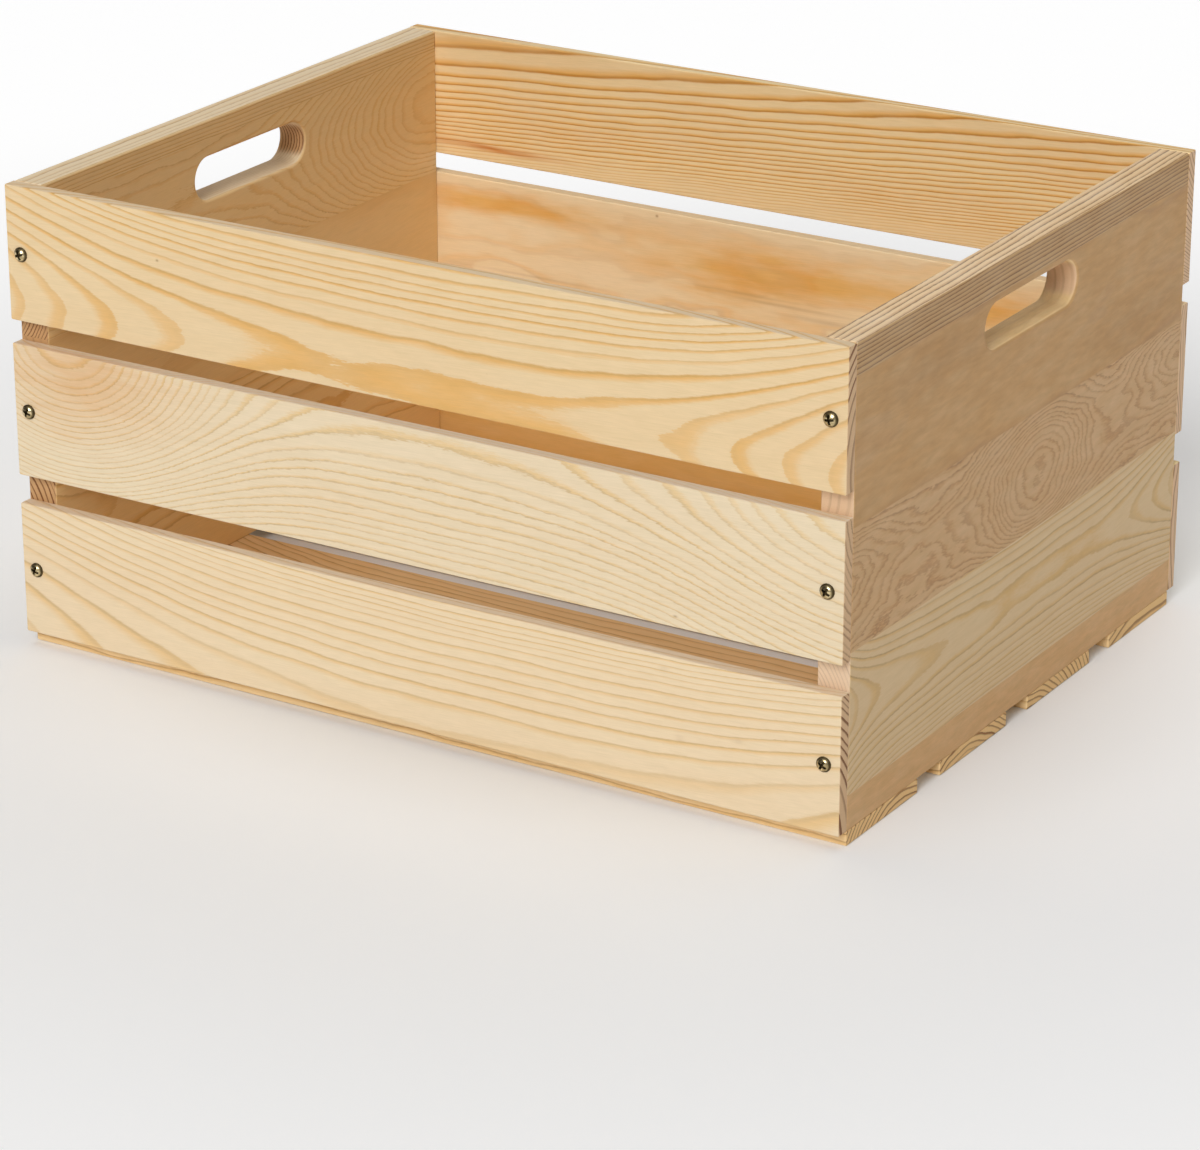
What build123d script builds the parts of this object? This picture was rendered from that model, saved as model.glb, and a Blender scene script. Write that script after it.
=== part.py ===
from build123d import *
from math import cos, radians, sin
import os

# Slatted pine apple crate: two glued-up end panels, three screwed slats on each
# long side and four bottom slats under the panels. Millimetres, +Z up, origin in
# the middle of the underside, long sides along X and the front side towards -Y.

os.makedirs("parts", exist_ok=True)

# ---- Driving dimensions ----
crate_length = 500.0      # side and bottom slats, along X
panel_depth = 368.0       # end panels, along Y, between the side slats
panel_thickness = 18.0
stock_width = 74.0        # one planed slat size serves the sides and the bottom
stock_thickness = 8.0
lower_gap = 16.0          # between the lower and the middle side slat
upper_gap = 13.0          # between the middle and the upper side slat
rear_middle_lift = 1.5    # the rear middle slat sits this much higher

slat_ease = 0.8           # radius sanded on every slat edge
panel_ease = 0.8          # radius on the upright edges of the end panels
rim_ease = 1.5            # radius along both edges of the rim
hole_ease = 2.0           # radius round both mouths of a hand-hold

hand_hold_length = 102.0
hand_hold_height = 24.0
hand_hold_centre = 226.0  # above the underside

# Heights of the glue lines in each end panel, above the underside.
glue_lines = {
    "left": (34.0, 104.0, 174.0, 248.0),
    "right": (27.0, 102.0, 166.0, 242.0),
}

# Screws: 4 mm wood screws, pan head at the sides, countersunk underneath.
thread_radius = 2.0
core_radius = 1.25
neck_radius = 1.6
thread_pitch = 1.8
ridge_half_width = 0.45
point_length = 3.5
clearance_radius = 2.2    # hole through a slat
head_radius = 4.0
pan_height = 2.7
pan_wall = 0.6            # upright edge of the pan head below its dome
pan_screw_length = 30.0
sunk_screw_length = 25.0
sunk_below = 0.6          # how far a countersunk head lies inside its slat
recess_span = 5.2         # cross recess, over its arms
recess_width = 1.4
recess_depth = 2.0
recess_taper = 7.0        # degrees

# ---- Worked-out places ----
panel_foot = stock_thickness
rim_height = panel_foot + 3 * stock_width + lower_gap + upper_gap
panel_x = crate_length / 2 - panel_thickness / 2
slat_y = panel_depth / 2 + stock_thickness / 2
face_y = panel_depth / 2 + stock_thickness

lower_foot = panel_foot
middle_foot = lower_foot + stock_width + lower_gap
upper_foot = middle_foot + stock_width + upper_gap
slat_feet = {
    "front": {"lower": lower_foot, "middle": middle_foot, "upper": upper_foot},
    "rear": {"lower": lower_foot, "middle": middle_foot + rear_middle_lift, "upper": upper_foot},
}

bottom_pitch = (panel_depth - stock_width) / 3
bottom_slat_y = {
    "bottom_slat_front": -1.5 * bottom_pitch,
    "bottom_slat_front_inner": -0.5 * bottom_pitch,
    "bottom_slat_rear_inner": 0.5 * bottom_pitch,
    "bottom_slat_rear": 1.5 * bottom_pitch,
}


def shank_outline(length, neck_length, under_head):
    """Points (radius, height) down a screw's shank, from under its head to its point."""
    points = [(neck_radius, under_head), (neck_radius, -neck_length)]
    thread_end = -length + point_length
    crest = -neck_length - thread_pitch / 2
    while crest - thread_pitch / 2 > thread_end:
        points.append((core_radius, crest + ridge_half_width))
        points.append((thread_radius, crest))
        points.append((core_radius, crest - ridge_half_width))
        crest -= thread_pitch
    points.append((core_radius, thread_end))
    points.append((0, -length))
    return points


def side_screw_planes(side, foot):
    """Planes on the outer face of a side slat, one over the middle of each end panel."""
    outward = -1 if side == "front" else 1
    height = foot + stock_width / 2
    planes = []
    for across in (-1, 1):
        turn = radians(17 * height + 40 * across + 25 * outward)
        head_place = (across * panel_x, outward * face_y, height)
        recess_arm = (cos(turn), 0, sin(turn))
        planes.append(Plane(origin=head_place, x_dir=recess_arm, z_dir=(0, outward, 0)))
    return planes


def bottom_screw_planes(slat_centre):
    """Planes at the sunk heads under a bottom slat, one under each end panel."""
    planes = []
    for across in (-1, 1):
        turn = radians(slat_centre + 50 * across)
        head_place = (across * panel_x, slat_centre, sunk_below)
        recess_arm = (cos(turn), sin(turn), 0)
        planes.append(Plane(origin=head_place, x_dir=recess_arm, z_dir=(0, 0, -1)))
    return planes


# ---- Pattern screws, each with its head at the origin and its point towards -Z ----
with BuildPart() as pan_screw:
    with BuildSketch(Plane.XZ):
        with BuildLine():
            Polyline(shank_outline(pan_screw_length, stock_thickness + 1, 0))
            Polyline((neck_radius, 0), (head_radius, 0), (head_radius, pan_wall))
            TangentArc((0, pan_height), (head_radius, pan_wall), tangent=(1, 0))
            Line((0, pan_height), (0, -pan_screw_length))
        make_face()
    revolve(axis=Axis.Z)
    with BuildSketch(Plane.XY.offset(pan_height)):
        Rectangle(recess_span, recess_width)
        Rectangle(recess_width, recess_span)
    extrude(amount=-recess_depth, taper=recess_taper, mode=Mode.SUBTRACT)

sunk_cone_height = head_radius - neck_radius
with BuildPart() as sunk_screw:
    with BuildSketch(Plane.XZ):
        with BuildLine():
            Polyline(shank_outline(sunk_screw_length, stock_thickness, -sunk_cone_height))
            Polyline((neck_radius, -sunk_cone_height), (head_radius, 0), (0, 0))
            Line((0, 0), (0, -sunk_screw_length))
        make_face()
    revolve(axis=Axis.Z)
    with BuildSketch():
        Rectangle(recess_span, recess_width)
        Rectangle(recess_width, recess_span)
    extrude(amount=-recess_depth, taper=recess_taper, mode=Mode.SUBTRACT)

all_side_screws = []
for side, feet in slat_feet.items():
    for foot in feet.values():
        all_side_screws += side_screw_planes(side, foot)
all_bottom_screws = []
for slat_centre in bottom_slat_y.values():
    all_bottom_screws += bottom_screw_planes(slat_centre)

# ---- End panels: five boards glued edge to edge, with the hand-hold near the top ----
board_names = ("foot_strip", "lower_board", "middle_board", "grip_board", "rim_strip")
for end, across in (("left", -1), ("right", 1)):
    levels = (panel_foot,) + glue_lines[end] + (rim_height,)
    for board_name, low, high in zip(board_names, levels, levels[1:]):
        with BuildPart() as board:
            with Locations((across * panel_x, 0, (low + high) / 2)):
                Box(panel_thickness, panel_depth, high - low)
            fillet(board.edges().filter_by(Axis.Z), panel_ease)
            if board_name == "rim_strip":
                fillet(board.edges().filter_by(Axis.Y).group_by(Axis.Z)[-1], rim_ease)
            if board_name == "foot_strip":
                fillet(board.edges().filter_by(Axis.Y).group_by(Axis.Z)[0], panel_ease)
            if board_name == "grip_board":
                with BuildSketch(Plane.YZ.offset(across * panel_x)):
                    with Locations((0, hand_hold_centre)):
                        SlotOverall(hand_hold_length, hand_hold_height)
                extrude(amount=panel_thickness, both=True, mode=Mode.SUBTRACT)
                mouths = board.edges(Select.LAST).filter_by(Axis.X, reverse=True)
                fillet(mouths, hole_ease)
            own_screws = [
                plane
                for plane in all_side_screws
                if low < plane.origin.Z < high and plane.origin.X * across > 0
            ]
            if own_screws:
                with Locations(*own_screws):
                    add(pan_screw.part, mode=Mode.SUBTRACT)
            if board_name == "foot_strip":
                with Locations(*[p for p in all_bottom_screws if p.origin.X * across > 0]):
                    add(sunk_screw.part, mode=Mode.SUBTRACT)
        name = end + "_end_" + board_name
        board.part.label = name
        export_step(board.part, "parts/" + name + ".step")

# ---- Side slats and their pan-head screws ----
for side, feet in slat_feet.items():
    outward = -1 if side == "front" else 1
    for level, foot in feet.items():
        screw_planes = side_screw_planes(side, foot)
        name = side + "_" + level + "_slat"

        with BuildPart() as side_slat:
            with Locations((0, outward * slat_y, foot + stock_width / 2)):
                Box(crate_length, stock_thickness, stock_width)
            fillet(side_slat.edges(), slat_ease)
            with Locations(*screw_planes):
                Hole(clearance_radius, depth=stock_thickness)
        side_slat.part.label = name
        export_step(side_slat.part, "parts/" + name + ".step")

        with BuildPart() as slat_screws:
            with Locations(*screw_planes):
                add(pan_screw.part)
        slat_screws.part.label = name + "_screws"
        export_step(slat_screws.part, "parts/" + name + "_screws.step")

# ---- Bottom slats and their countersunk screws ----
for name, slat_centre in bottom_slat_y.items():
    with BuildPart() as bottom_slat:
        with Locations((0, slat_centre, stock_thickness / 2)):
            Box(crate_length, stock_width, stock_thickness)
        fillet(bottom_slat.edges(), slat_ease)
        for across in (-1, 1):
            with Locations(Plane(origin=(across * panel_x, slat_centre, 0), z_dir=(0, 0, -1))):
                CounterSinkHole(
                    radius=clearance_radius,
                    counter_sink_radius=head_radius + sunk_below,
                    depth=stock_thickness,
                    counter_sink_angle=90,
                )
    bottom_slat.part.label = name
    export_step(bottom_slat.part, "parts/" + name + ".step")

    with BuildPart() as bottom_screws:
        with Locations(*bottom_screw_planes(slat_centre)):
            add(sunk_screw.part)
    bottom_screws.part.label = name + "_screws"
    export_step(bottom_screws.part, "parts/" + name + "_screws.step")
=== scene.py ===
from dataclasses import dataclass
from math import cos, pi, radians, sin

import bpy
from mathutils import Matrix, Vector


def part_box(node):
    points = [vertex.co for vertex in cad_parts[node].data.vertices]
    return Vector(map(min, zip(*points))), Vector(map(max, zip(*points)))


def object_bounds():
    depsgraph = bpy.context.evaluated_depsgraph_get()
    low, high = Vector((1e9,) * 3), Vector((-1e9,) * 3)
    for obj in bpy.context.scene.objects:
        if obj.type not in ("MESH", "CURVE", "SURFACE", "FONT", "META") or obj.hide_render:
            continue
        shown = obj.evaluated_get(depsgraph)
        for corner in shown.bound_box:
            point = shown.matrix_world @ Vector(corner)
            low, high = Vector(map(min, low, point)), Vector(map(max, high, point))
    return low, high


# Looks for a slatted pine apple crate. Every board keeps its CAD shape and gets its own
# solid-wood material: growth rings are worked out in three dimensions from where the
# tree's heart lay, so faces, edges and ends of one board agree with each other.
# Lengths inside the wood materials are millimetres; everything else is metres.

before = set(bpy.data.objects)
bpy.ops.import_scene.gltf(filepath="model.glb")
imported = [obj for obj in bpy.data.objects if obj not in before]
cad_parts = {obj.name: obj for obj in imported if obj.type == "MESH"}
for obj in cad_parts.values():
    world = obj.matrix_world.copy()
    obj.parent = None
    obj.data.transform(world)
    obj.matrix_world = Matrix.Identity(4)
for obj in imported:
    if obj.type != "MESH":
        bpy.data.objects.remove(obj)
cad_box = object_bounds()

AXES = {"X": (1, 0, 0), "Y": (0, 1, 0), "Z": (0, 0, 1)}
MM = 1000.0

# ---- Sizes shared by all boards: length along the grain, width across it, in millimetres ----
BROAD_WAVE = (120, 34)      # slow wander of the growth rings
SHORT_WAVE = (30, 11)       # quicker wander on top of it
TORN_EDGE = (4.5, 0.8)      # ragged edges of the rings
DRIFT = (150, 30)           # slow change of tone
STRAY = (40, 9)             # uneven outline of the darker patches
CLOUD = (28, 9)             # yellower clouds
MOTTLE = (12, 3.0)          # small uneven spots
FIBRE = (15, 0.5)
MARK = (4.0, 0.32)          # short resin marks
PORE = (1.0, 0.5)           # pores in the end grain

BROAD_SHIFT = 2.4           # how far each wave moves the rings, millimetres
SHORT_SHIFT = 0.9
TORN_SHIFT = 0.24
YEARS_PER_SPELL = 1 / 0.31  # good and bad years come in spells of about this many
SPELL_SHIFT = 0.55          # how far a spell moves the rings, in rings
STRAY_ALONG = 0.6           # how far strays move a patch's outline, in its reaches
STRAY_ACROSS = 0.9
PATCH_FADE = (-6.0, -1.5)   # depths under the face between which patches come up
FIBRE_SLANT = 0.06          # slant of the fibres across the face
RELIEF = 0.0001             # height of the surface grain, metres

CLOUD_COLOUR = (0.86, 0.72, 0.50, 1)
MARK_COLOUR = (0.40, 0.23, 0.10, 1)
PORE_COLOUR = (0.42, 0.25, 0.12, 1)
CUT_RING_SHARE = (0.34, 0.22, 0.16)     # an end-grain ring's colour over the wood's round it

TARNISH_SCALE = 420.0       # tarnish spots per metre
RECESS_SHADE_DEPTHS = (0.7, 1.5)   # below the top of a screw's head, where the painted shade starts and is full
BRASS_DULL = (0.44, 0.34, 0.17, 1)
BRASS_BRIGHT = (0.86, 0.70, 0.40, 1)
# painted shade in the screws' recesses and round their rims
RECESS_SHADE = (0.05, 0.035, 0.015, 1)


# ---- Short calls for building shader nodes ----
class Graph:
    """A material's node tree. Each value is a number, a colour or another node's output."""

    def __init__(self, name):
        self.material = bpy.data.materials.new(name)
        self.material.use_nodes = True
        self.tree = self.material.node_tree
        self.shader = self.tree.nodes["Principled BSDF"]

    def feed(self, socket, value):
        if isinstance(value, bpy.types.NodeSocket):
            self.tree.links.new(value, socket)
        else:
            socket.default_value = value

    def node(self, kind, inputs=None, **settings):
        made = self.tree.nodes.new("ShaderNode" + kind)
        for key, value in settings.items():
            setattr(made, key, value)
        for socket, value in (inputs or {}).items():
            self.feed(made.inputs[socket], value)
        return made

    def math(self, operation, *values):
        made = self.tree.nodes.new("ShaderNodeMath")
        made.operation = operation
        for socket, value in zip(made.inputs, values):
            self.feed(socket, value)
        return made.outputs[0]

    def add(self, *values):
        total = values[0]
        for value in values[1:]:
            total = self.math("ADD", total, value)
        return total

    def scale(self, value, factor, offset=0.0):
        return self.math("MULTIPLY_ADD", value, factor, offset)

    def along(self, vector, axis, origin, factor=MM):
        """A vector's part along an axis, counted from origin; metres become millimetres."""
        step = Vector(AXES[axis]) * factor
        dot = self.node("VectorMath", {0: vector, 1: step}, operation="DOT_PRODUCT")
        return self.math("SUBTRACT", dot.outputs["Value"], origin * factor)

    def stretched(self, uvw, length, width, seed):
        """A vector that takes one step over that length of grain and that width across it."""
        u, v, w = uvw
        parts = {
            "X": self.scale(u, 1 / length, seed),
            "Y": self.scale(v, 1 / width, seed * 1.7),
            "Z": self.scale(w, 1 / width, -seed),
        }
        return self.node("CombineXYZ", parts).outputs[0]

    def noise(self, vector, detail=2.0, roughness=0.5):
        """Noise between about -1 and 1."""
        made = self.node("TexNoise", {"Vector": vector, "Scale": 1.0}, noise_dimensions="3D")
        made.inputs["Detail"].default_value = detail
        made.inputs["Roughness"].default_value = roughness
        return self.scale(made.outputs["Fac"], 2.0, -1.0)

    def blend(self, share, first, second, mode="MIX"):
        made = self.node("Mix", {0: share, 6: first, 7: second}, data_type="RGBA")
        made.blend_type = mode
        return made.outputs[2]

    def smooth(self, value, low, high, to_low=0.0, to_high=1.0):
        limits = {1: low, 2: high, 3: to_low, 4: to_high}
        made = self.node("MapRange", {0: value, **limits}, interpolation_type="SMOOTHSTEP")
        return made.outputs[0]

    def swell(self, u, v, bump, strays=0.0):
        """A smooth hill: where it is, how far it reaches both ways, its height.

        Strays is a noise that makes its outline uneven.
        """
        middle_u, middle_v, reach_u, reach_v, height = bump
        du = self.scale(u, 1 / reach_u, -middle_u / reach_u)
        dv = self.scale(v, 1 / reach_v, -middle_v / reach_v)
        du = self.math("MULTIPLY_ADD", strays, STRAY_ALONG, du)
        dv = self.math("MULTIPLY_ADD", strays, STRAY_ACROSS, dv)
        spread = self.math("MULTIPLY_ADD", du, du, self.math("MULTIPLY", dv, dv))
        return self.scale(self.math("EXPONENT", self.scale(spread, -1.0)), height)


# ---- Pine ----
@dataclass
class Board:
    """How one board was cut from its tree, and what colour it is.

    A place on a board is (along, across, reach along, reach across, amount), as Graph.swell
    takes it, measured from the middle of the described face.
    """

    grain: str = "X"            # axis along the grain
    width: str = "Z"            # axis across the board's face
    face: str = "-Y"            # way out of the face whose figure is described
    heart: tuple = (0, -60)     # the tree's heart: across from the middle, out of the face
    ring: float = 3.2           # width of a growth ring nearest the heart
    crowd: float = 0.0          # how much faster the rings come further out, per millimetre
    start: float = 0.0          # how far grown the ring at the heart line is
    taper: float = 0.0          # how much the tree thickens along the board
    bend: tuple = (0, 0, 4)     # how far the heart bends away at the ends, where, how sharply
    swells: tuple = ()          # places where the rings bulge
    wander: float = 1.0         # how uneven the rings run
    ragged: float = 1.0         # how torn the edges of the rings are
    edge: float = 0.02          # share of a ring over which a golden band breaks off
    late: float = 0.50          # share of a ring that is grown before it turns golden
    contrast: float = 1.0
    fresh_and_unshaded: tuple = (1.0, 1.0, 1.0)      # multiplies the colour of the edges and the back
    cut: tuple = (0.78, 0.54, 0.34)     # colour of the end grain
    end_rings: float = 0.8      # how strong the rings are in the end grain
    faint: tuple = ()           # places where the rings fade
    mottle: float = 1.0         # strength of the small uneven spots
    pale: tuple = (0.83, 0.65, 0.41)
    gold: tuple = (0.80, 0.54, 0.23)
    dark: tuple = (0.60, 0.38, 0.15)
    blush: tuple = (0.76, 0.50, 0.27)
    patches: tuple = ()         # places on the described face where the blush is strong
    specks: tuple = ()          # pin knots, smudges and thin streaks
    seed: float = 0.0


def out_of_face(g, point, node, face):
    """Millimetres out of a node's box through one of its sides (negative inside)."""
    low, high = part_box(node)
    outward, axis = face
    corner, sign = (high, 1.0) if outward == "+" else (low, -1.0)
    return g.scale(g.along(point, axis, corner["XYZ".index(axis)]), sign)


def board_places(g, node, board):
    """Millimetres along the grain, across the face, and out of the face (negative inside)."""
    point = g.node("TexCoord").outputs["Object"]
    low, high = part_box(node)
    middle = (low + high) / 2
    u = g.along(point, board.grain, middle["XYZ".index(board.grain)])
    v = g.along(point, board.width, middle["XYZ".index(board.width)])
    return u, v, out_of_face(g, point, node, board.face)


def ring_count(g, uvw, board):
    """Rings grown between the heart and a point, and how steeply the face cuts them."""
    u, v, w = uvw
    half_length = 250.0
    heart_v, heart_w = board.heart
    across = g.add(v, -heart_v)
    inward = g.add(w, -heart_w)
    squares = g.math("MULTIPLY_ADD", across, across, g.math("MULTIPLY", inward, inward))
    reach = g.math("SQRT", squares)
    steepness = g.math("DIVIDE", g.math("ABSOLUTE", across), reach)
    depth = g.add(reach, g.scale(u, board.taper, -abs(heart_w)))

    amount, centre, power = board.bend
    if amount:
        outer = g.math("ABSOLUTE", g.scale(u, 1 / half_length, -centre / half_length))
        depth = g.add(depth, g.scale(g.math("POWER", outer, power), -amount))
    for bump in board.swells:
        depth = g.add(depth, g.swell(u, v, bump))

    broad = g.noise(g.stretched(uvw, *BROAD_WAVE, board.seed), detail=1.0)
    wavy = g.noise(g.stretched(uvw, *SHORT_WAVE, board.seed + 5), detail=1.0)
    torn = g.noise(g.stretched(uvw, *TORN_EDGE, board.seed + 9), detail=2.0)
    depth = g.add(
        depth,
        g.scale(broad, BROAD_SHIFT * board.wander),
        g.scale(wavy, SHORT_SHIFT * board.wander),
        g.scale(torn, TORN_SHIFT * board.ragged),
    )
    pace = g.scale(depth, board.crowd / board.ring, 1 / board.ring)
    rings = g.math("MULTIPLY_ADD", depth, pace, board.start)
    spells = {"X": g.scale(rings, 1 / YEARS_PER_SPELL), "Y": board.seed}
    spell = g.noise(g.node("CombineXYZ", spells).outputs[0], detail=0.0)
    return g.add(rings, g.scale(spell, SPELL_SHIFT)), steepness


def ring_colour(g, growth, board):
    """One year's wood: pale, then gold, then a dark edge that breaks off."""
    ramp = g.node("ValToRGB", {0: growth})
    soft = tuple(0.75 * a + 0.25 * b for a, b in zip(board.pale, board.dark))
    stops = ((0.0, soft), (0.05, board.pale), (board.late, board.pale))
    stops += ((0.60 + 0.40 * board.late, board.gold),)
    stops += ((0.80 + 0.20 * board.late, board.dark), (0.95, board.dark), (1.0, soft))
    while len(ramp.color_ramp.elements) < len(stops):
        ramp.color_ramp.elements.new(0.5)
    for element, (place, colour) in zip(ramp.color_ramp.elements, stops):
        element.position = place
        element.color = (*colour, 1)
    return ramp.outputs[0]


def shaded(g, colour, value, depth, blue_depth):
    """Brightens and darkens a colour by a noise, its blue most."""
    shade = g.scale(value, depth, 1.0)
    grey = g.node("CombineColor", {0: shade, 1: shade, 2: g.scale(value, blue_depth, 1.0)})
    return g.blend(1.0, colour, grey.outputs[0], "MULTIPLY")


def places_sum(g, uvw, places, total=0.0, strays=0.0):
    """Total plus the hill of every place on the list."""
    for place in places:
        total = g.add(total, g.swell(uvw[0], uvw[1], place, strays))
    return total


def ringed_wood(g, uvw, growth, luck, steepness, board):
    """The board's rings, each year its own strength, on the pale wood between them."""
    ringed = ring_colour(g, growth, board)
    # Rings cut nearly flat show as broad golden bands without their dark edge.
    band = g.smooth(growth, 0.56, 0.80)
    band = g.math("MULTIPLY", band, g.smooth(growth, 1.0 - board.edge, 1.0, 1.0, 0.0))
    flat = g.smooth(steepness, 0.10, 0.42, 0.7, 0.0)
    golden = g.blend(band, (*board.pale, 1), (*board.gold, 1))
    ringed = g.blend(flat, ringed, golden)
    strength = g.scale(luck, 0.45 * board.contrast, 0.55 * board.contrast)
    if board.faint:
        kept = g.scale(places_sum(g, uvw, board.faint), -1.0, 1.0)
        strength = g.math("MULTIPLY", strength, kept)
    return g.blend(strength, (*board.pale, 1), ringed)


def drifting_tone(g, uvw, colour, board):
    """Broad drifts of colour, some of them pinned to a place, and small uneven spots."""
    drift = g.noise(g.stretched(uvw, *DRIFT, board.seed + 21), detail=2.0)
    strays = g.noise(g.stretched(uvw, *STRAY, board.seed + 23), detail=3.0)
    blush = g.smooth(drift, -0.6, 0.9, 0.0, 0.22)
    if board.patches:
        near_face = g.smooth(uvw[2], *PATCH_FADE)
        patches = places_sum(g, uvw, board.patches, strays=strays)
        blush = g.math("MULTIPLY_ADD", patches, near_face, blush)
    tint = tuple(a / b for a, b in zip(board.blush, board.pale))
    colour = g.blend(blush, colour, g.blend(1.0, colour, (*tint, 1), "MULTIPLY"))
    cloud = g.noise(g.stretched(uvw, *CLOUD, board.seed + 25), detail=2.0)
    colour = g.blend(g.smooth(cloud, -0.5, 0.8, 0.0, 0.14), colour, CLOUD_COLOUR)
    mottle = g.noise(g.stretched(uvw, *MOTTLE, board.seed + 27), detail=3.0, roughness=0.6)
    return shaded(g, colour, mottle, 0.05 * board.mottle, 0.07 * board.mottle)


def fibres_and_marks(g, uvw, board):
    """Fine fibres lying a little aslant, and the strength of short resin marks and specks."""
    u, v, w = uvw
    slanted = (u, g.add(v, g.scale(u, -FIBRE_SLANT)), w)
    fibre = g.noise(g.stretched(slanted, *FIBRE, board.seed + 31), detail=3.0, roughness=0.65)
    marks = g.noise(g.stretched(slanted, *MARK, board.seed + 41), detail=1.0)
    marks = g.smooth(marks, 0.48, 0.70, 0.0, 0.28)
    return fibre, places_sum(g, uvw, board.specks, marks)


def freshened_and_unshaded(g, normal, colour, board):
    """The described face is darker than the rest: with age, and on the right end's boards also as
    painted shade, since that end's outside stands in shade; the edges and the back have their own
    tint.
    """
    outward, axis = board.face
    facing = g.along(normal, axis, 0.0, 1.0 if outward == "+" else -1.0)
    fresh_and_unshaded = g.smooth(facing, 0.4, 0.8, 1.0, 0.0)
    return g.blend(fresh_and_unshaded, colour, g.blend(1.0, colour, (*board.fresh_and_unshaded, 1), "MULTIPLY"))


def end_grain(g, uvw, growth, luck, board):
    """Colour of the cut ends: redder, with narrow dark rings and pores."""
    line = g.smooth(growth, 0.55, 0.82)
    line = g.math("MULTIPLY", line, g.smooth(growth, 0.93, 1.0, 1.0, 0.0))
    line = g.scale(g.math("MULTIPLY", line, g.scale(luck, 0.6, 0.4)), board.end_rings)
    dark_cut = tuple(share * tone for share, tone in zip(CUT_RING_SHARE, board.cut))
    cut = g.blend(line, (*board.cut, 1), (*dark_cut, 1))
    pores = g.noise(g.stretched(uvw, *PORE, board.seed + 51), detail=2.0)
    return g.blend(g.smooth(pores, 0.0, 0.7, 0.0, 0.25), cut, PORE_COLOUR)


def pine(node, board):
    """Bare sanded pine on one CAD node."""
    g = Graph("pine_" + node)
    uvw = board_places(g, node, board)
    rings, steepness = ring_count(g, uvw, board)
    growth = g.math("FRACT", rings)
    year = g.math("FLOOR", g.add(rings, board.seed))
    luck = g.node("TexWhiteNoise", {"W": year}, noise_dimensions="1D").outputs["Value"]

    colour = ringed_wood(g, uvw, growth, luck, steepness, board)
    colour = drifting_tone(g, uvw, colour, board)
    fibre, marks = fibres_and_marks(g, uvw, board)
    colour = shaded(g, colour, fibre, 0.10, 0.14)
    colour = g.blend(marks, colour, MARK_COLOUR)

    normal = g.node("TexCoord").outputs["Normal"]
    colour = freshened_and_unshaded(g, normal, colour, board)
    facing_end = g.math("ABSOLUTE", g.along(normal, board.grain, 0.0, 1.0))
    end = g.smooth(facing_end, 0.55, 0.9)
    colour = g.blend(end, colour, end_grain(g, uvw, growth, luck, board))

    late = g.smooth(growth, 0.6, 0.92)
    roughness = g.add(g.scale(late, -0.06, 0.56), g.scale(end, 0.15), g.scale(fibre, 0.05))
    relief = g.add(g.scale(late, 0.08), g.scale(fibre, 0.5), g.scale(marks, -1.2))
    bump = g.node("Bump", {"Height": relief, "Distance": RELIEF, "Strength": 0.7})
    g.feed(g.shader.inputs["Base Color"], colour)
    g.feed(g.shader.inputs["Roughness"], roughness)
    g.shader.inputs["Specular IOR Level"].default_value = 0.25
    g.feed(g.shader.inputs["Normal"], bump.outputs["Normal"])
    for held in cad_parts[node].material_slots:
        held.material = g.material


def brassed_steel(node, face):
    """Yellow-passivated screw steel: tarnished, with painted shade in the recess and round the
    rim.
    """
    g = Graph("brassed_" + node)
    point = g.node("TexCoord").outputs["Object"]
    spots = g.node("TexNoise", {"Vector": point, "Scale": TARNISH_SCALE, "Detail": 3.0})
    share = g.smooth(spots.outputs["Fac"], 0.35, 0.7)
    bright = g.blend(share, BRASS_DULL, BRASS_BRIGHT)
    below_top = g.scale(out_of_face(g, point, node, face), -1.0)
    # Painted shade: darker the deeper below the head's top, in the recess and round the rim;
    # rougher there too.
    recess_shade = g.smooth(below_top, *RECESS_SHADE_DEPTHS, 0.0, 0.9)
    roughness = g.add(g.scale(share, -0.08, 0.30), g.scale(recess_shade, 0.3))
    g.feed(g.shader.inputs["Base Color"], g.blend(recess_shade, bright, RECESS_SHADE))
    g.feed(g.shader.inputs["Roughness"], roughness)
    g.shader.inputs["Metallic"].default_value = 1.0
    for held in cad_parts[node].material_slots:
        held.material = g.material


# ---- Which wood each board is ----
AMBER = dict(
    pale=(0.95, 0.68, 0.33), gold=(0.88, 0.54, 0.19), dark=(0.62, 0.35, 0.11),
    cut=(0.60, 0.35, 0.16), fresh_and_unshaded=(0.95, 1.06, 1.42),
)
TOFFEE = dict(pale=(0.82, 0.54, 0.26), gold=(0.74, 0.44, 0.17), dark=(0.46, 0.24, 0.08))
# BROWN, TAN and STRAW serve only the right end's boards: partly painted shade, darker than the
# wood, as that end's outside stands in shade.
BROWN = dict(pale=(0.59, 0.34, 0.135), gold=(0.52, 0.27, 0.09), dark=(0.33, 0.15, 0.05))
STRAW = dict(pale=(0.74, 0.54, 0.30), gold=(0.69, 0.43, 0.15), dark=(0.47, 0.28, 0.11))
TAN = dict(pale=(0.63, 0.39, 0.185), gold=(0.55, 0.30, 0.12), dark=(0.34, 0.17, 0.06))

FRONT = dict(face="-Y", wander=0.6, fresh_and_unshaded=(1.0, 1.01, 1.10), cut=(0.74, 0.50, 0.29))
BOTTOM = dict(
    width="Y", face="+Z", fresh_and_unshaded=(1.14, 1.22, 1.28), cut=(0.88, 0.59, 0.27), end_rings=1.0,
    **TOFFEE,
)
END = dict(grain="Y", width="Z", face="+X", end_rings=0.3)
STRIPED_END = dict(END, end_rings=1.3)

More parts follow.
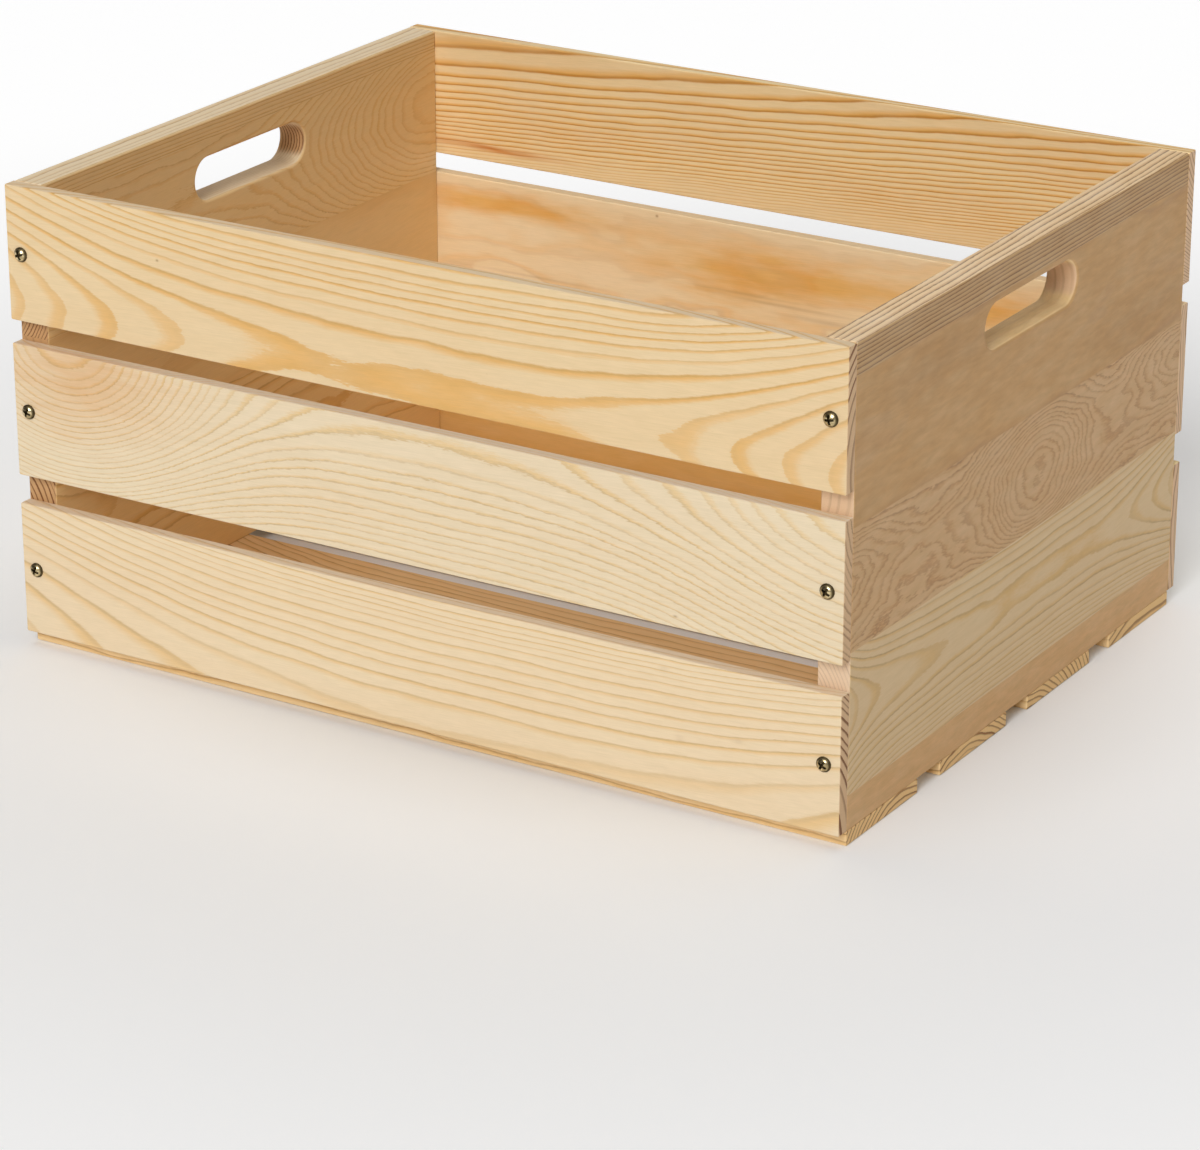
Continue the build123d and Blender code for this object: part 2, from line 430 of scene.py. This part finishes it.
BOARDS = {
    "front_upper_slat": Board(
        heart=(-28, -62), ring=4.0, crowd=0.0078, start=0.757, bend=(19, 0, 3), late=0.6,
        pale=(0.82, 0.62, 0.36), gold=(0.79, 0.455, 0.14), dark=(0.64, 0.37, 0.11),
        swells=((175, -20, 70, 200, 1.1),), end_rings=1.4,
        specks=((-152, 11.7, 0.8, 0.6, 0.8),), seed=1.3, **FRONT,
    ),
    "front_middle_slat": Board(
        heart=(46, -60), ring=3.3, start=0.2, ragged=2.6,
        swells=((-215, 46, 85, 105, -64), (270, 0, 110, 300, -28)),
        patches=((-205, 26, 50, 26, 0.9),), specks=((157, -31, 1.2, 0.6, 0.6),),
        pale=(0.83, 0.69, 0.48), gold=(0.80, 0.56, 0.25), dark=(0.61, 0.43, 0.21),
        late=0.62, contrast=0.85, end_rings=0.7, seed=2.6, **FRONT,
    ),
    "front_lower_slat": Board(
        heart=(-48, 62), ring=5.4, crowd=0.0115, start=0.78, bend=(15.7, 40, 2.8),
        late=0.60, contrast=0.87, end_rings=1.4,
        specks=((151, 30, 3, 2, 0.12), (160, -5, 3, 2, 0.12), (193, 1, 3, 2, 0.15)),
        pale=(0.86, 0.69, 0.46), gold=(0.82, 0.55, 0.24), dark=(0.64, 0.43, 0.19),
        seed=3.9, **FRONT,
    ),
    "rear_upper_slat": Board(
        heart=(60, -55), ring=5.6, crowd=0.023, taper=0.048, start=0.3, contrast=1.6,
        wander=0.7, ragged=0.35, faint=((0, -34, 600, 10, 0.7),), late=0.45,
        pale=(0.93, 0.72, 0.40), gold=(0.86, 0.50, 0.14), dark=(0.61, 0.29, 0.055),
        blush=(0.68, 0.28, 0.07), patches=((-195, -29, 40, 1.9, 0.95),), face="-Y", seed=4.4,
    ),
    "rear_middle_slat": Board(
        heart=(13, -150), ring=3.4, wander=1.6, ragged=0.1, edge=0.4, contrast=0.6,
        blush=(0.82, 0.47, 0.14),
        patches=(
            (-180, 24, 65, 6, 1.2), (-25, 6, 54, 16, 0.90), (45, 12, 68, 10, 0.75),
            (125, 14, 36, 9, 1.0), (-70, -31, 140, 4, 1.0),
        ),
        pale=(0.90, 0.72, 0.46), gold=(0.84, 0.50, 0.17), dark=(0.60, 0.30, 0.08),
        specks=(
            (-80, 34, 0.9, 0.8, 0.8), (-20, -3, 34, 0.9, 0.26), (6, -6, 36, 1.1, 0.34),
            (34, -11, 30, 1.5, 0.32), (-158, -17, 42, 0.8, 0.26),
        ),
        face="-Y", seed=5.7,
    ),
    "rear_lower_slat": Board(
        heart=(0, -150), ring=5.0, contrast=0.5, ragged=0.3, edge=0.3, face="-Y",
        pale=(0.74, 0.45, 0.150), gold=(0.66, 0.37, 0.10), dark=(0.48, 0.24, 0.06),
        fresh_and_unshaded=(1.15, 1.46, 2.0), seed=6.1,
    ),
    "bottom_slat_front": Board(heart=(20, -50), seed=7.2, **BOTTOM),
    "bottom_slat_front_inner": Board(heart=(-8, -65), bend=(10, 20, 4), seed=8.5, **BOTTOM),
    "bottom_slat_rear_inner": Board(heart=(-35, -45), seed=9.1, **BOTTOM),
    "bottom_slat_rear": Board(
        heart=(12, -110), ring=5.0, bend=(9, -30, 3), contrast=0.4, seed=10.4, **BOTTOM,
    ),
    # The right end's boards: their outside is painted darker as shade, and their edge-and-back
    # tint lifts the inside and edges back to the wood's own colour.
    "right_end_rim_strip": Board(
        heart=(100, -60), ring=1.9, taper=0.010, wander=0.4, contrast=2.8, late=0.40,
        fresh_and_unshaded=(1.62, 1.88, 2.4), seed=11.3,
        pale=(0.54, 0.33, 0.14), gold=(0.42, 0.22, 0.08), dark=(0.20, 0.09, 0.03), **END,
    ),
    "right_end_grip_board": Board(
        heart=(0, -150), ring=5.0, contrast=0.5, ragged=0.3, edge=0.2, mottle=3.4,
        blush=(0.46, 0.25, 0.09), patches=((-90, 22, 60, 12, 0.6), (130, -20, 60, 12, 0.5)),
        fresh_and_unshaded=(1.5, 1.88, 2.35), seed=12.2, **END, **BROWN,
    ),
    "right_end_middle_board": Board(
        heart=(-3, -110), ring=1.5, wander=2.0, ragged=2.6, mottle=2.4, contrast=1.3,
        swells=((14, -3, 55, 36, -20), (190, 15, 60, 25, -14), (-190, -2, 50, 30, -8)),
        fresh_and_unshaded=(1.42, 1.65, 1.80), seed=13.8, **END, **TAN,
    ),
    "right_end_lower_board": Board(
        heart=(6.5, -40), ring=2.2, start=0.61, bend=(26, 20, 3.2), wander=0.5,
        swells=((-184, 6, 60, 80, 5.5),), contrast=0.85, fresh_and_unshaded=(1.20, 1.20, 1.15),
        cut=(0.82, 0.61, 0.42), seed=14.9, **END, **STRAW,
    ),
    "right_end_foot_strip": Board(
        heart=(0, -160), ring=4.0, contrast=0.4, ragged=0.3, edge=0.2, mottle=3.6,
        pale=(0.68, 0.40, 0.17), gold=(0.58, 0.31, 0.11), dark=(0.38, 0.19, 0.06),
        fresh_and_unshaded=(1.30, 1.60, 1.90), seed=15.5, **END,
    ),
    "left_end_rim_strip": Board(
        heart=(110, -50), ring=1.8, wander=0.5, contrast=1.0, seed=16.4, **END, **AMBER,
    ),
    "left_end_grip_board": Board(
        heart=(5, -100), ring=1.9, contrast=0.75, late=0.58, ragged=1.5,
        swells=((184, 5, 110, 85, -36),), seed=17.1, **STRIPED_END, **AMBER,
    ),
    "left_end_middle_board": Board(
        heart=(0, -150), ring=5.0, contrast=0.5, ragged=0.3, seed=18.8, **END, **AMBER,
    ),
    "left_end_lower_board": Board(
        heart=(-6, -55), ring=2.8, bend=(10, 30, 3), seed=19.7, **STRIPED_END, **AMBER,
    ),
    "left_end_foot_strip": Board(
        heart=(0, -160), ring=4.0, contrast=0.4, ragged=0.3, seed=20.6, **END, **AMBER,
    ),
}

# The way the heads of each side's screws face.
SCREW_FACES = {"front": "-Y", "rear": "+Y", "bottom": "-Z"}


def dress():
    """Gives every CAD node its material."""
    for node, board in BOARDS.items():
        pine(node, board)
    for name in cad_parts:
        if name.endswith("_screws"):
            brassed_steel(name, SCREW_FACES[name.split("_")[0]])


# ---- Floor, light and camera ----
def pale_floor():
    """A pale floor that glows a little away from the crate, like a lit studio sweep."""
    mesh = bpy.data.meshes.new("floor")
    half, level = 8.0, -0.0002
    corners = [(x * half, y * half, level) for x, y in ((-1, -1), (1, -1), (1, 1), (-1, 1))]
    mesh.from_pydata(corners, [], [(0, 1, 2, 3)])
    floor = bpy.data.objects.new("floor", mesh)
    bpy.context.scene.collection.objects.link(floor)
    g = Graph("pale_floor")
    point = g.node("TexCoord").outputs["Object"]
    distance = g.node("VectorMath", {0: point}, operation="LENGTH").outputs["Value"]
    half_length, half_depth = 0.25, 0.19
    crate_share = (1 / half_length, 1 / half_depth, 0)
    under = g.node("VectorMath", {0: point, 1: crate_share}, operation="MULTIPLY")
    under = g.node("VectorMath", {0: under.outputs[0]}, operation="LENGTH").outputs["Value"]
    near_glow = g.smooth(under, 0.8, 1.5, 0.0, 0.12)
    far_glow = g.smooth(distance, 0.3, 1.1, 0.0, 0.24)
    g.shader.inputs["Base Color"].default_value = (0.83, 0.83, 0.83, 1)
    g.shader.inputs["Roughness"].default_value = 0.9
    g.shader.inputs["Emission Color"].default_value = (1, 1, 1, 1)
    g.feed(g.shader.inputs["Emission Strength"], g.add(near_glow, far_glow))
    mesh.materials.append(g.material)


def soft_light(name, azimuth, elevation, spread, share):
    """Even light from a wide patch of sky; azimuth 0 is in front of the crate, 90 at its right."""
    lamp = bpy.data.lights.new(name, "SUN")
    lamp.angle = radians(spread)
    lamp.energy = pi * share
    holder = bpy.data.objects.new(name, lamp)
    a, e = radians(azimuth), radians(elevation)
    back = Vector((sin(a) * cos(e), -cos(a) * cos(e), sin(e)))
    holder.rotation_euler = (-back).to_track_quat("-Z", "Y").to_euler()
    bpy.context.scene.collection.objects.link(holder)


def backdrop():
    """A dim room with a pale sheet of light behind the crate."""
    world = bpy.data.worlds.new("studio")
    world.use_nodes = True
    nodes, links = world.node_tree.nodes, world.node_tree.links
    way = nodes.new("ShaderNodeTexCoord")
    parts = nodes.new("ShaderNodeSeparateXYZ")
    links.new(way.outputs["Generated"], parts.inputs[0])
    sheet = nodes.new("ShaderNodeMapRange")
    sheet.interpolation_type = "SMOOTHSTEP"
    front, behind, dim, bright = 0.0, 0.9, 0.05, 0.55
    for socket, value in zip(list(sheet.inputs)[1:5], (front, behind, dim, bright)):
        socket.default_value = value
    links.new(parts.outputs["Y"], sheet.inputs[0])
    links.new(sheet.outputs[0], nodes["Background"].inputs["Strength"])
    nodes["Background"].inputs["Color"].default_value = (1, 1, 1, 1)
    bpy.context.scene.world = world


def studio():
    """Soft light, mostly from in front of the crate and above it."""
    backdrop()
    soft_light("key", azimuth=12, elevation=34, spread=30, share=0.62)
    soft_light("top", azimuth=0, elevation=88, spread=50, share=0.25)
    bpy.context.scene.view_settings.view_transform = "Standard"


def camera(middle):
    """A long lens, a little above the crate and to its right."""
    azimuth, elevation, distance = radians(31.72), radians(21.78), 2.366
    back = Vector((sin(azimuth) * cos(elevation), -cos(azimuth) * cos(elevation), sin(elevation)))
    aim = middle + Vector((0.015, -0.032, -0.088))
    lens = bpy.data.cameras.new("camera")
    lens.lens = 132.2
    lens.sensor_width = 36.0
    holder = bpy.data.objects.new("camera", lens)
    holder.location = aim + back * distance
    holder.rotation_euler = (-back).to_track_quat("-Z", "Y").to_euler()
    bpy.context.scene.collection.objects.link(holder)
    bpy.context.scene.camera = holder


middle = (cad_box[0] + cad_box[1]) / 2
dress()
pale_floor()
studio()
camera(middle)
